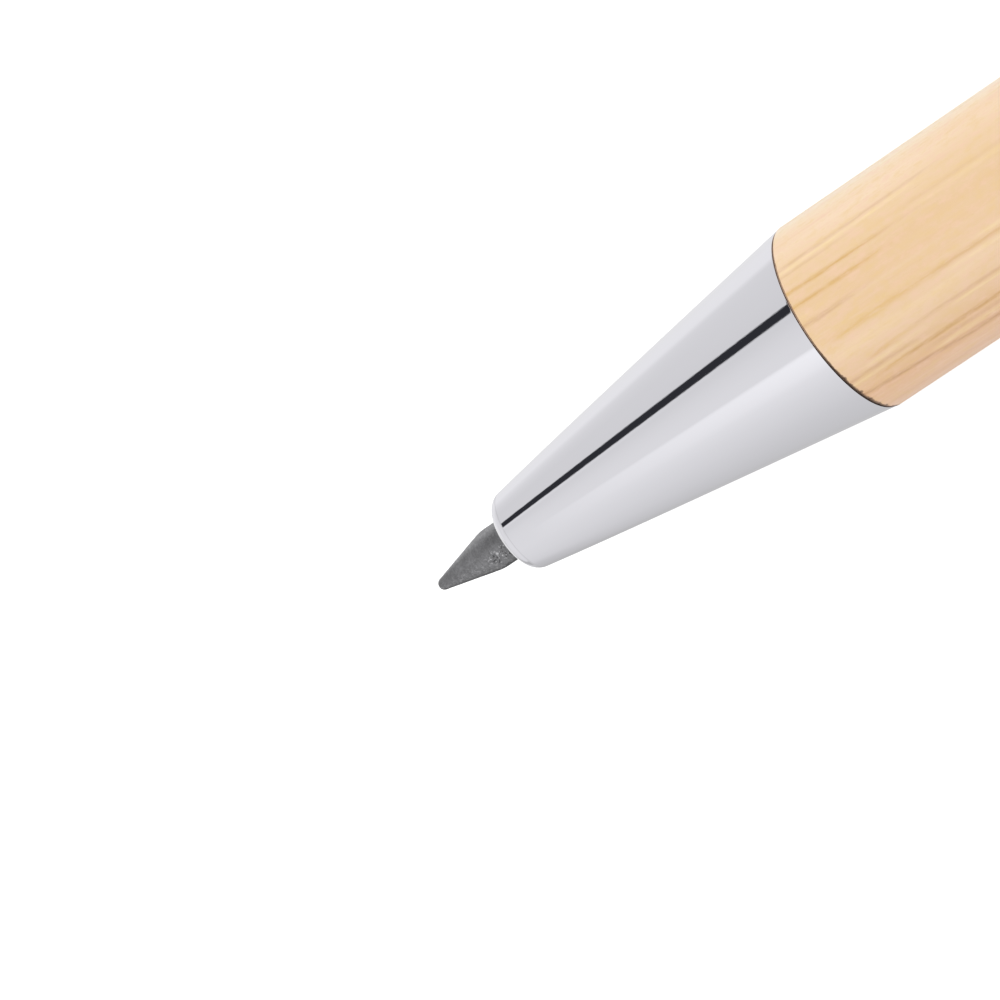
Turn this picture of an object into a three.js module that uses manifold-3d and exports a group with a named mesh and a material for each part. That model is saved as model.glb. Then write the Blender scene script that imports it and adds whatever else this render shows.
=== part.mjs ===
import * as THREE from "three";
import { mergeVertices } from "three/addons/utils/BufferGeometryUtils.js";
import Module from "manifold-3d";

// Inkless pencil with a bamboo body, a chromed nose and a twist mechanism.
// Turning the rear half draws the graphite-alloy tip back into the nose.
// Lengths are in millimetres. The pencil lies along X with its tip towards -X, the clip is on
// top (+Z), and while it is built x = 0 is the mouth of the nose. Profiles are lists of [x, r].

// Writing tip
const tipRadius = 1.19;
const tipPointRadius = 0.36;
const tipConeLength = 3.75;
const tipShoulderOut = 1.5;

// Nose cone
const noseLength = 22;
const noseBaseStep = 0.04;
const noseBaseRounding = 0.05;
const noseBulge = 0.05;
const noseBulgePlace = 0.25;
const mouthRimWall = 1.08;
const mouthRimFillet = 0.85;
const mouthLength = 2.6;
const mouthTaperLength = 1.2;
const mouthLeadIn = 0.07;
const chamberClearance = 0.45;
const spigotLength = 7.5;
const spigotReliefLength = 1;
const spigotReliefDepth = 0.2;

// Body
const barrelRadius = 5.5;
const barrelEdgeRounding = 0.08;
const seamGap = 0.12;
const seamWasherThickness = 0.08;
const seamWasherRecess = 0.03;
const lowerBarrelLength = 50;
const upperBarrelLength = 51;
const centreRingWidth = 2.5;
const centreRingBevel = 0.35;
const centreRingGroove = 0.18;
const centreRingGrooveWidth = 0.5;
const tubeWall = 0.3;
const frontBushWall = 0.5;
const frontBushLength = 12;
const rearBushLength = 10;

// Cartridge
const ferruleWall = 0.28;
const ferruleSetback = 1.1;
const ferruleNoseTaper = 0.5;
const ferruleGrip = 4.2;
const ferruleEndWall = 3;
const crimpSetback = 2;
const crimpWidth = 1.6;
const crimpDepth = 0.15;
const cartridgeWall = 0.3;
const neckLength = 3;
const plugCollarLength = 1.2;
const stemShoulder = 0.25;
const stemLength = 3.6;
const stemChamfer = 0.25;

// Twist mechanism
const twistTravel = 5.6;
const twistTurn = Math.PI;
const sliderWall = 0.77;
const sliderEdge = 0.25;
const sliderWeb = 1.97;
const sliderTail = 2.07;
const pinRadius = 0.5;
const camWall = 0.65;
const camCoreRadius = 1;
const camGrip = 14;
const camRearShoulder = 1.1;
const guideWall = 0.4;
const guideFrontWall = 0.8;
const guideLip = 0.6;
const guideLipDepth = 0.35;
const frictionRingSection = 0.3;
const frictionRingPlace = 1.6;

// Clip and end cap
const clipThickness = 0.6;
const clipRootWidth = 4.2;
const clipFrontWidth = 3;
const clipLength = 40;
const clipStandOff = 1.5;
const clipFall = 0.7;
const clipBendRadius = 0.8;
const clipPadLength = 7;
const clipTailLift = 0.9;
const clipTailLength = 2.6;
const clipPadDip = 0.05;
const clipRingInset = 0.7;
const clipBendGap = 0.3;
const capLength = 8.5;
const capCornerRadius = 1.6;
const capGrooveWidth = 0.75;
const capGrooveDepth = 0.18;
const capTaper = 0.55;
const capEdgeBevel = 0.25;
const capStudRadius = 1.5;
const capStudLength = 8;
const capNotchDepth = 0.8;

// Clearances
const glueGap = 0.05;
const pressGap = 0.03;
const runningGap = 0.05;
const slideGap = 0.1;
const tipGap = 0.08;
const threadGap = 0.05;
const endFloat = 0.3;
const twistGap = 0.1;
const slotGap = 0.06;
const notchGap = 0.15;

// Facets
const outerSides = 48;
const innerSides = 32;
const pinSides = 16;
const pointSteps = 5;
const filletSteps = 7;
const flankSteps = 12;
const edgeSteps = 3;
const ringSteps = 8;
const slotSteps = 18;
const clipSteps = 20;

// Radii, from the cartridge outwards
const mouthRadius = tipRadius + tipGap;
const ferruleBore = tipRadius + pressGap;
const cartridgeRadius = ferruleBore + ferruleWall;
const cartridgeBore = cartridgeRadius - cartridgeWall;
const neckRadius = cartridgeBore - pressGap;
const chamberRadius = cartridgeRadius + chamberClearance;
const stemRadius = cartridgeRadius - stemShoulder;
const stemBore = stemRadius + pressGap;
const sliderRadius = stemBore + sliderWall;
const camBore = sliderRadius + slideGap;
const camRadius = camBore + camWall;
const guideBore = camRadius + runningGap;
const guideRadius = guideBore + guideWall;
const tubeBore = guideRadius + glueGap;
const tubeRadius = tubeBore + tubeWall;
const barrelBore = tubeRadius + glueGap;
const bushRadius = tubeBore - glueGap;
const frontBushBore = bushRadius - frontBushWall;
const spigotRadius = frontBushBore - threadGap;
const noseBaseRadius = barrelRadius - noseBaseStep;
const studBore = capStudRadius + threadGap;
const clipRingRadius = barrelRadius - clipRingInset;

// Places along the axis, from the mouth of the nose to the rear end
const seamX = noseLength;
const lowerFrontX = seamX + seamGap;
const lowerRearX = lowerFrontX + lowerBarrelLength;
const ringFrontX = lowerRearX + twistGap;
const upperFrontX = ringFrontX + centreRingWidth;
const upperRearX = upperFrontX + upperBarrelLength;
const clipRingX = upperRearX + runningGap;
const capX = clipRingX + clipThickness + runningGap;
const rearX = capX + capLength;
const tipEndX = -tipShoulderOut - tipConeLength;
const ferruleX = mouthLength + ferruleSetback;
const tipShankEndX = ferruleX + ferruleGrip;

// Places inside the mechanism, worked out with the tip fully out
const stemBoreDepth = stemLength + endFloat;
const pinHoleRadius = pinRadius + pressGap;
const sliderLength = stemBoreDepth + sliderWeb + 2 * pinHoleRadius + sliderTail;
const camBoreEnd = guideFrontWall + endFloat + sliderLength + twistTravel + endFloat;
const frictionRingOffset = camBoreEnd + frictionRingPlace;
const guideLength = frictionRingOffset + camRearShoulder + 2 * endFloat + guideLip;
const guideRearX = lowerRearX - glueGap;
const guideFrontX = guideRearX - guideLength;
const sliderFrontX = guideFrontX + guideFrontWall + endFloat;
const sliderRearX = sliderFrontX + sliderLength;
const pinX = sliderRearX - sliderTail - pinHoleRadius;

const colours = {
  bamboo: 0xe9c997,
  chrome: 0xd4d5dc,
  graphite: 0x6f6f72,
  brass: 0xc9a557,
  steel: 0xb9bcc0,
  rubber: 0x1d1a19,
  plastic: 0xe8e6e0,
};

function material(name, roughness, metalness) {
  return new THREE.MeshStandardMaterial({ color: colours[name], roughness, metalness });
}

const bamboo = material("bamboo", 0.6, 0);
const chrome = material("chrome", 0.08, 1);
const graphite = material("graphite", 0.55, 0.4);
const brass = material("brass", 0.3, 1);
const steel = material("steel", 0.25, 1);
const rubber = material("rubber", 0.7, 0);
const plastic = material("plastic", 0.45, 0);

const wasm = await Module();
wasm.setup();

// A closed geometry as a solid that can be cut and joined
function solidOf(geometry) {
  const bare = geometry.clone();
  bare.deleteAttribute("normal");
  bare.deleteAttribute("uv");
  const merged = mergeVertices(bare, 1e-4);
  const triVerts = new Uint32Array(merged.index.array);
  const vertProperties = new Float32Array(merged.attributes.position.array);
  return new wasm.Manifold(new wasm.Mesh({ numProp: 3, vertProperties, triVerts }));
}

function geometryOf(solid) {
  const mesh = solid.getMesh();
  const geometry = new THREE.BufferGeometry();
  geometry.setAttribute("position", new THREE.BufferAttribute(mesh.vertProperties, 3));
  geometry.setIndex(new THREE.BufferAttribute(mesh.triVerts, 1));
  return geometry.toNonIndexed();
}

function cut(geometry, ...cutters) {
  let solid = solidOf(geometry);
  for (const cutter of cutters) solid = solid.subtract(solidOf(cutter));
  return geometryOf(solid);
}

function common(geometry, other) {
  return geometryOf(solidOf(geometry).intersect(solidOf(other)));
}

// Twice the area that a profile encloses, positive when its solid side is on the left
function turningSense(profile) {
  let sum = 0;
  profile.forEach(([x, r], i) => {
    const [nextX, nextR] = profile[(i + 1) % profile.length];
    sum += r * nextX - nextR * x;
  });
  return sum;
}

// A profile of [x, r] points turned about X. A profile that leaves the axis closes on itself.
// Flat facets face up and down, so that a turned piece lies steadily.
function turned(profile, sides) {
  const ordered = turningSense(profile) > 0 ? profile : [...profile].reverse();
  const onAxis = ordered.some(([, r]) => r === 0);
  let points = ordered;
  if (onAxis) {
    const start = ordered.findIndex(([, r], i) => r === 0 && ordered.at(i - 1)[1] === 0);
    points = [...ordered.slice(start), ...ordered.slice(0, start)];
  } else {
    points = [...ordered, ordered[0]];
  }
  const outline = points.map(([x, r]) => new THREE.Vector2(r, x));
  const geometry = new THREE.LatheGeometry(outline, sides, Math.PI / sides);
  return geometry.rotateZ(-Math.PI / 2);
}

// Points of an arc about (x, r), with angles from +X towards +R in radians
function arc(x, r, radius, from, to, steps) {
  const curve = new THREE.EllipseCurve(x, r, radius, radius, from, to, to < from);
  return curve.getPoints(steps).map((p) => [p.x, p.y]);
}

// A plain ring or tube between two places
function sleeve(fromX, toX, boreRadius, radius, sides) {
  const outer = [[fromX, radius], [toX, radius]];
  return turned([...outer, [toX, boreRadius], [fromX, boreRadius]], sides);
}

function boxBetween(low, high) {
  const size = high.map((value, i) => value - low[i]);
  const middle = high.map((value, i) => (value + low[i]) / 2);
  return new THREE.BoxGeometry(...size).translate(...middle);
}

// A round rod along Z, centred on the axis at x
function crossRod(x, radius, halfLength) {
  const rod = new THREE.CylinderGeometry(radius, radius, 2 * halfLength, pinSides);
  return rod.rotateX(Math.PI / 2).translate(x, 0, 0);
}

// The graphite-alloy tip: a rounded cone on a straight shank
function graphiteTip() {
  const rise = tipRadius - tipPointRadius;
  const lean = Math.atan2(rise, tipConeLength - tipPointRadius);
  const pointX = tipEndX + tipPointRadius;
  const point = arc(pointX, 0, tipPointRadius, Math.PI, Math.PI / 2 + lean, pointSteps);
  const profile = [
    [tipEndX, 0],
    ...point.slice(1),
    [-tipShoulderOut, tipRadius],
    [tipShankEndX, tipRadius],
    [tipShankEndX, 0],
  ];
  return turned(profile, innerSides);
}

// The ferrule grips the tip's shank in a blind bore, with a crimped groove half-way, and plugs
// into the cartridge tube
const ferruleShoulderX = tipShankEndX + ferruleEndWall;
function tipFerrule() {
  const crimpX = ferruleX + crimpSetback;
  const crimpRadius = cartridgeRadius - crimpDepth;
  const profile = [
    [ferruleX, ferruleBore],
    [ferruleX, crimpRadius],
    [ferruleX + ferruleNoseTaper, cartridgeRadius],
    [crimpX, cartridgeRadius],
    [crimpX + crimpDepth, crimpRadius],
    [crimpX + crimpWidth - crimpDepth, crimpRadius],
    [crimpX + crimpWidth, cartridgeRadius],
    [ferruleShoulderX, cartridgeRadius],
    [ferruleShoulderX, neckRadius],
    [ferruleShoulderX + neckLength, neckRadius],
    [ferruleShoulderX + neckLength, 0],
    [tipShankEndX + pressGap, 0],
    [tipShankEndX + pressGap, ferruleBore],
  ];
  return turned(profile, innerSides);
}

const cartridgeFrontX = ferruleShoulderX + pressGap;
const cartridgeRearX = sliderFrontX - plugCollarLength - 2 * pressGap;
function cartridgeTube() {
  return sleeve(cartridgeFrontX, cartridgeRearX, cartridgeBore, cartridgeRadius, innerSides);
}

// The plug closes the cartridge and its stem pushes into the slider
function cartridgePlug() {
  const collarX = cartridgeRearX + pressGap;
  const stemX = collarX + plugCollarLength;
  const profile = [
    [collarX - neckLength, 0],
    [collarX - neckLength, neckRadius],
    [collarX, neckRadius],
    [collarX, cartridgeRadius],
    [stemX, cartridgeRadius],
    [stemX, stemRadius],
    [stemX + stemLength - stemChamfer, stemRadius],
    [stemX + stemLength, stemRadius - stemChamfer],
    [stemX + stemLength, 0],
  ];
  return turned(profile, innerSides);
}

// The slider carries the cartridge in its bore and the cross pin near its rear end
function slider() {
  const profile = [
    [sliderFrontX, stemBore],
    [sliderFrontX, sliderRadius - sliderEdge],
    [sliderFrontX + sliderEdge, sliderRadius],
    [sliderRearX - sliderEdge, sliderRadius],
    [sliderRearX, sliderRadius - sliderEdge],
    [sliderRearX, 0],
    [sliderFrontX + stemBoreDepth, 0],
    [sliderFrontX + stemBoreDepth, stemBore],
  ];
  return cut(turned(profile, innerSides), crossRod(pinX, pinHoleRadius, 2 * sliderRadius));
}

function crossPin() {
  return crossRod(pinX, pinRadius, guideRadius - slideGap);
}

// The guide sleeve is fixed in the lower tube. Its two straight slots keep the pin from turning,
// and the lip rolled in at its rear end holds the cam sleeve.
function guideSleeve() {
  const lipX = guideRearX - guideLip;
  const profile = [
    [guideFrontX, cartridgeRadius + slideGap],
    [guideFrontX, guideRadius],
    [guideRearX, guideRadius],
    [guideRearX, guideBore - guideLipDepth],
    [lipX, guideBore - guideLipDepth],
    [lipX, guideBore],
    [guideFrontX + guideFrontWall, guideBore],
    [guideFrontX + guideFrontWall, cartridgeRadius + slideGap],
  ];
  const half = pinRadius + slotGap;
  const reach = 2 * guideRadius;
  const slot = boxBetween([pinX - half, -half, -reach], [pinX + twistTravel + half, half, reach]);
  return cut(turned(profile, innerSides), slot);
}

// A band that winds about X through the wall of a sleeve. It starts at the angle given, from +Z
// towards -Y, and falls back by turn while it runs from startX over travel. Its width is
// measured square to the band at every radius, and both ends run on by half that width.
function helicalBand({ startX, travel, startAngle, turn, width, innerRadius, outerRadius }) {
  const half = width / 2;
  const corners = [
    [innerRadius, -half],
    [innerRadius, half],
    [outerRadius, half],
    [outerRadius, -half],
  ];
  const runOn = half / Math.hypot(travel, turn * innerRadius);
  const positions = [];
  for (let i = 0; i <= slotSteps; i += 1) {
    const share = -runOn + ((1 + 2 * runOn) * i) / slotSteps;
    for (const [radius, side] of corners) {
      const slope = Math.atan2(travel, turn * radius);
      const angle = startAngle - turn * share + (side * Math.sin(slope)) / radius;
      const x = startX + travel * share + side * Math.cos(slope);
      positions.push(x, -radius * Math.sin(angle), radius * Math.cos(angle));
    }
  }
  const index = [0, 1, 2, 0, 2, 3];
  const last = 4 * slotSteps;
  for (let i = 0; i < slotSteps; i += 1) {
    for (let k = 0; k < 4; k += 1) {
      const a = 4 * i + k;
      const b = 4 * i + ((k + 1) % 4);
      index.push(a, a + 4, b, b, a + 4, b + 4);
    }
  }
  index.push(last, last + 2, last + 1, last, last + 3, last + 2);
  const geometry = new THREE.BufferGeometry();
  geometry.setAttribute("position", new THREE.Float32BufferAttribute(positions, 3));
  geometry.setIndex(index);
  return geometry.toNonIndexed();
}

// The cam sleeve turns inside the guide sleeve. Its two helical slots drive the pin along, and
// its rear end is gripped by the upper tube.
const frictionRingX = guideFrontX + frictionRingOffset;
function camSleeve() {
  const grooveHalf = frictionRingSection + runningGap;
  const grooveRadius = camRadius - 2 * frictionRingSection;
  const waistRadius = guideBore - guideLipDepth - slideGap;
  const shoulderX = guideRearX - guideLip - endFloat;
  const gripX = ringFrontX;
  const gripEndX = gripX + camGrip;
  const coreX = guideFrontX + camBoreEnd;
  const profile = [
    [sliderFrontX, camBore],
    [sliderFrontX, camRadius],
    [frictionRingX - grooveHalf, camRadius],
    [frictionRingX - grooveHalf, grooveRadius],
    [frictionRingX + grooveHalf, grooveRadius],
    [frictionRingX + grooveHalf, camRadius],
    [shoulderX, camRadius],
    [shoulderX, waistRadius],
    [gripX, waistRadius],
    [gripX, bushRadius],
    [gripEndX - glueGap, bushRadius],
    [gripEndX, bushRadius - glueGap],
    [gripEndX, camCoreRadius],
    [coreX, camCoreRadius],
    [coreX, camBore],
  ];
  const band = {
    startX: pinX,
    travel: twistTravel,
    turn: twistTurn,
    width: 2 * (pinRadius + slotGap),
    innerRadius: camBore - endFloat,
    outerRadius: camRadius + endFloat,
  };
  const upperSlot = helicalBand({ ...band, startAngle: 0 });
  const lowerSlot = helicalBand({ ...band, startAngle: Math.PI });
  return cut(turned(profile, innerSides), upperSlot, lowerSlot);
}

// The rubber ring in the cam sleeve's groove gives the twist its drag
function frictionRing() {
  const middle = camRadius - frictionRingSection - runningGap / 2;
  const section = frictionRingSection - runningGap / 2;
  const profile = arc(frictionRingX, middle, section, 0, 2 * Math.PI, ringSteps);
  return turned(profile.slice(0, -1), innerSides);
}

// The nose: a slightly convex cone with a rounded mouth, and a spigot that screws into the body
function noseFlank(from) {
  const to = new THREE.Vector2(seamX - noseBaseRounding, noseBaseRadius);
  const start = new THREE.Vector2(...from);
  const belly = start.clone().lerp(to, noseBulgePlace);
  belly.y += 2 * noseBulge;
  const flank = new THREE.QuadraticBezierCurve(start, belly, to);
  return flank.getPoints(flankSteps).map((p) => [p.x, p.y]);
}

function noseCone() {
  const fillet = Math.min(mouthRimFillet, mouthRimWall - mouthLeadIn);
  const filletR = mouthRadius + mouthRimWall - fillet;
  const lean = Math.atan2(noseBaseRadius - mouthRadius - mouthRimWall, noseLength);
  const mouthRim = arc(fillet, filletR, fillet, Math.PI, Math.PI / 2 + lean, filletSteps);
  const baseR = noseBaseRadius - noseBaseRounding;
  const baseX = seamX - noseBaseRounding;
  const baseEdge = arc(baseX, baseR, noseBaseRounding, Math.PI / 2, 0, edgeSteps);
  const spigotEndX = lowerFrontX + spigotLength;
  const reliefX = lowerFrontX + spigotReliefLength;
  const reliefRadius = spigotRadius - spigotReliefDepth;
  const profile = [
    [0, mouthRadius + mouthLeadIn],
    ...mouthRim,
    ...noseFlank(mouthRim.at(-1)).slice(1),
    ...baseEdge.slice(1),
    [seamX, reliefRadius],
    [reliefX, reliefRadius],
    [reliefX + spigotReliefDepth, spigotRadius],
    [spigotEndX - spigotReliefDepth, spigotRadius],
    [spigotEndX, reliefRadius],
    [spigotEndX, chamberRadius],
    [mouthLength + mouthTaperLength, chamberRadius],
    [mouthLength, mouthRadius],
    [mouthLeadIn, mouthRadius],
  ];
  return turned(profile, outerSides);
}

// The dark washer that shows as a fine line between the nose and the bamboo
function seamWasher() {
  const spare = (seamGap - seamWasherThickness) / 2;
  const radius = noseBaseRadius - seamWasherRecess;
  return sleeve(seamX + spare, lowerFrontX - spare, frontBushBore, radius, outerSides);
}

function frontBush() {
  const fromX = lowerFrontX + glueGap;
  const toX = lowerFrontX + frontBushLength;
  return sleeve(fromX, toX, frontBushBore, bushRadius, innerSides);
}

// A bamboo half: a straight tube with softened edges
function bambooHalf(fromX, toX) {
  const edge = barrelEdgeRounding;
  const r = barrelRadius - edge;
  const front = arc(fromX + edge, r, edge, Math.PI, Math.PI / 2, edgeSteps);
  const rear = arc(toX - edge, r, edge, Math.PI / 2, 0, edgeSteps);
  return turned([...front, ...rear, [toX, barrelBore], [fromX, barrelBore]], outerSides);
}

function lowerBarrel() {
  return bambooHalf(lowerFrontX, lowerRearX);
}

function lowerTube() {
  return sleeve(lowerFrontX + glueGap, lowerRearX - glueGap, tubeBore, tubeRadius, innerSides);
}

function upperBarrel() {
  return bambooHalf(upperFrontX + pressGap, upperRearX);
}

function upperTube() {
  return sleeve(ringFrontX + glueGap, upperRearX - glueGap, tubeBore, tubeRadius, innerSides);
}

// The chromed ring between the two halves has bevelled edges and a shallow groove
function centreRing() {
  const middle = (ringFrontX + upperFrontX) / 2;
  const half = centreRingGrooveWidth / 2;
  const floor = barrelRadius - centreRingGroove;
  const profile = [
    [ringFrontX, barrelBore],
    [ringFrontX, barrelRadius - centreRingBevel],
    [ringFrontX + centreRingBevel, barrelRadius],
    [middle - half, barrelRadius],
    [middle - half / 2, floor],
    [middle + half / 2, floor],
    [middle + half, barrelRadius],
    [upperFrontX - centreRingBevel, barrelRadius],
    [upperFrontX, barrelRadius - centreRingBevel],
    [upperFrontX, barrelBore],
  ];
  return turned(profile, outerSides);
}

function rearBush() {
  const fromX = upperRearX - rearBushLength;
  return sleeve(fromX, upperRearX - glueGap, studBore, bushRadius, innerSides);
}

// The end cap: a tapered button with a flat end inside a fine groove, a stud that screws into
// the rear bush, and a notch that the clip stands in
function endCap() {
  const shoulderRadius = barrelRadius - capTaper - capCornerRadius;
  const cornerX = rearX - capCornerRadius;
  const corner = arc(cornerX, shoulderRadius, capCornerRadius, Math.PI / 2, 0, filletSteps);
  const flatRadius = shoulderRadius - capGrooveWidth;
  const studEndX = capX - capStudLength;
  const profile = [
    [studEndX, 0],
    [studEndX, capStudRadius - capEdgeBevel],
    [studEndX + capEdgeBevel, capStudRadius],
    [capX, capStudRadius],
    [capX, barrelRadius - capEdgeBevel],
    [capX + capEdgeBevel, barrelRadius],
    ...corner,
    [rearX - capGrooveDepth, flatRadius + capGrooveDepth],
    [rearX, flatRadius],
    [rearX, 0],
  ];
  const halfWidth = clipRootWidth / 2 + notchGap;
  const notch = boxBetween(
    [capX - capNotchDepth, -halfWidth, clipRingRadius - clipBendGap],
    [capX + capNotchDepth, halfWidth, 2 * barrelRadius],
  );
  return cut(turned(profile, outerSides), notch);
}

function clipRing() {
  const toX = clipRingX + clipThickness;
  return sleeve(clipRingX, toX, studBore, clipRingRadius, outerSides);
}

// The middle line of the clip's arm in the XZ plane: up from its root, round the bend, along
// the barrel, down to the pad that touches it, and up again at the tail
function clipMiddleLine() {
  const half = clipThickness / 2;
  const rootX = clipRingX + half;
  const runZ = barrelRadius + clipStandOff + half;
  const bendX = rootX - clipBendRadius;
  const bendZ = runZ - clipBendRadius;
  const bend = arc(bendX, bendZ, clipBendRadius, 0, Math.PI / 2, pointSteps);
  const padX = rootX - clipLength;
  const padZ = barrelRadius + runningGap + half;
  const fallZ = runZ - clipFall;
  const third = clipPadLength / 3;
  const front = new THREE.SplineCurve([
    new THREE.Vector2(padX + clipPadLength, fallZ),
    new THREE.Vector2(padX + 2 * third, fallZ - clipPadDip),
    new THREE.Vector2(padX + third, (fallZ + 2 * padZ) / 3),
    new THREE.Vector2(padX, padZ),
    new THREE.Vector2(padX - clipTailLength / 2, padZ + clipTailLift / 4),
    new THREE.Vector2(padX - clipTailLength, padZ + clipTailLift),
  ]);
  const root = [rootX, clipRingRadius + clipBendGap];
  return [root, ...bend, ...front.getPoints(clipSteps).map((p) => [p.x, p.y])];
}

// A strip of even thickness about a middle line of [x, z] points, as an outline
function stripOutline(line, thickness) {
  const sides = [[], []];
  line.forEach(([x, z], i) => {
    const [ax, az] = line[Math.max(i - 1, 0)];
    const [bx, bz] = line[Math.min(i + 1, line.length - 1)];
    const normal = new THREE.Vector2(az - bz, bx - ax).normalize();
    const offset = normal.multiplyScalar(thickness / 2);
    sides[0].push(new THREE.Vector2(x + offset.x, z + offset.y));
    sides[1].push(new THREE.Vector2(x - offset.x, z - offset.y));
  });
  return [...sides[0], ...sides[1].reverse()];
}

// The clip's arm: a bent strip, cut to a plan that narrows towards a round front end
function clipArm() {
  const line = clipMiddleLine();
  const side = new THREE.Shape(stripOutline(line, clipThickness));
  const strip = new THREE.ExtrudeGeometry(side, { depth: clipRootWidth, bevelEnabled: false });
  strip.rotateX(Math.PI / 2).translate(0, clipRootWidth / 2, 0);
  const rootX = clipRingX + clipThickness;
  const frontX = line.at(-1)[0] - clipThickness / 2;
  const end = clipFrontWidth / 2;
  const plan = new THREE.Shape();
  plan.moveTo(rootX, -clipRootWidth / 2);
  plan.lineTo(rootX, clipRootWidth / 2);
  plan.lineTo(frontX + end, end);
  plan.absarc(frontX + end, 0, end, Math.PI / 2, (3 * Math.PI) / 2, false);
  const settings = { depth: 4 * barrelRadius, bevelEnabled: false, curveSegments: ringSteps };
  return common(strip, new THREE.ExtrudeGeometry(plan, settings));
}

const pencil = new THREE.Group();
pencil.name = "inkless_pencil";

function add(name, geometry, finish) {
  const mesh = new THREE.Mesh(geometry, finish);
  mesh.name = name;
  pencil.add(mesh);
}

add("graphite_tip", graphiteTip(), graphite);
add("tip_ferrule", tipFerrule(), brass);
add("cartridge_tube", cartridgeTube(), steel);
add("cartridge_plug", cartridgePlug(), plastic);
add("slider", slider(), plastic);
add("cross_pin", crossPin(), steel);
add("nose_cone", noseCone(), chrome);
add("seam_washer", seamWasher(), rubber);
add("front_bush", frontBush(), brass);
add("lower_barrel", lowerBarrel(), bamboo);
add("lower_tube", lowerTube(), brass);
add("guide_sleeve", guideSleeve(), brass);
add("cam_sleeve", camSleeve(), plastic);
add("friction_ring", frictionRing(), rubber);
add("centre_ring", centreRing(), chrome);
add("upper_barrel", upperBarrel(), bamboo);
add("upper_tube", upperTube(), brass);
add("rear_bush", rearBush(), brass);
add("clip_ring", clipRing(), chrome);
add("clip_arm", clipArm(), chrome);
add("end_cap", endCap(), chrome);

// The origin lies under the middle of the pencil, on the surface that its lowest facets touch
const restHeight = barrelRadius * Math.cos(Math.PI / outerSides);
pencil.position.set(-(tipEndX + rearX) / 2, 0, restHeight);

export default pencil;
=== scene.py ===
import math

import bpy
import numpy as np
from mathutils import Matrix, Vector, noise

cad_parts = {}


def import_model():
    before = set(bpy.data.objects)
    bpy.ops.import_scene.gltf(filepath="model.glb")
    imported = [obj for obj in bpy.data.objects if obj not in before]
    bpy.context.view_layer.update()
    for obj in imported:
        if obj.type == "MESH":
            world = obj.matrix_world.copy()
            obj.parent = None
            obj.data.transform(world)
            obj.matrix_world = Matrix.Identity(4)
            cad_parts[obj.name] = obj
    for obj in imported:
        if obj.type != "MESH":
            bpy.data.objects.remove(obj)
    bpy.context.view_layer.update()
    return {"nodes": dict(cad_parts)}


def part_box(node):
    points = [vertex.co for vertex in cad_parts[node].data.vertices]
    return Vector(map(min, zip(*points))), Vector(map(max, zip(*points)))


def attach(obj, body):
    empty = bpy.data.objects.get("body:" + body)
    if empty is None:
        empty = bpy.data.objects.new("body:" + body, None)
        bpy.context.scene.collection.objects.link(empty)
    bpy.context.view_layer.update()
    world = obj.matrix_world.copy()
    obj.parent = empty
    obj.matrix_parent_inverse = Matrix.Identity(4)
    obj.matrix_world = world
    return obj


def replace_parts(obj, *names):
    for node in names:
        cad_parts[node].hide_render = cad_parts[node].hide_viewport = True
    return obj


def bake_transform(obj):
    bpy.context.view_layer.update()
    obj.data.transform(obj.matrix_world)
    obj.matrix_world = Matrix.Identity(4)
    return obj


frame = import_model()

# Pieces are laid out in millimetres: x from the mouth of the nose, y and z from the pencil's
# axis. mesh_object puts them in the frame, in metres. Angles round the pencil are in degrees
# from the top (+Z) towards +Y.
MM = 0.001
MOUTH_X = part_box("nose_cone")[0].x / MM
BARREL_LOW, BARREL_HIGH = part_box("lower_barrel")
AXIS_Z = (BARREL_LOW.z + BARREL_HIGH.z) / 2 / MM
CAD_SIDES = 48
# Round pieces are drawn just inside the flat facets of the CAD solids
INSIDE = math.cos(math.pi / CAD_SIDES) * 0.99999


def place_of(node):
    """Front and rear ends of a CAD node, counted from the mouth."""
    low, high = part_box(node)
    return low.x / MM - MOUTH_X, high.x / MM - MOUTH_X


# ---------------------------------------------------------------- meshes

def finish_mesh(mesh, smooth_angle):
    mesh.shade_smooth()
    mesh.set_sharp_from_angle(angle=math.radians(smooth_angle))


def mesh_object(name, points, faces, material, smooth_angle=35):
    """A mesh of points in millimetres from the mouth and the axis."""
    mesh = bpy.data.meshes.new(name)
    at = np.array(points, float) + np.array([MOUTH_X, 0.0, AXIS_Z])
    mesh.from_pydata([tuple(p) for p in at * MM], [], faces)
    mesh.validate()
    mesh.update()
    finish_mesh(mesh, smooth_angle)
    mesh.materials.append(material)
    piece = bpy.data.objects.new(name, mesh)
    bpy.context.scene.collection.objects.link(piece)
    return piece


def combine(piece, other, operation, smooth_angle):
    """Cuts another mesh from a piece or joins it, and takes the other away."""
    change = piece.modifiers.new("combine", "BOOLEAN")
    change.operation, change.solver, change.object = operation, "EXACT", other
    bpy.context.view_layer.update()
    seen = piece.evaluated_get(bpy.context.evaluated_depsgraph_get())
    mesh = bpy.data.meshes.new_from_object(seen)
    piece.modifiers.clear()
    piece.data = mesh
    finish_mesh(mesh, smooth_angle)
    bpy.data.objects.remove(other)


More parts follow.
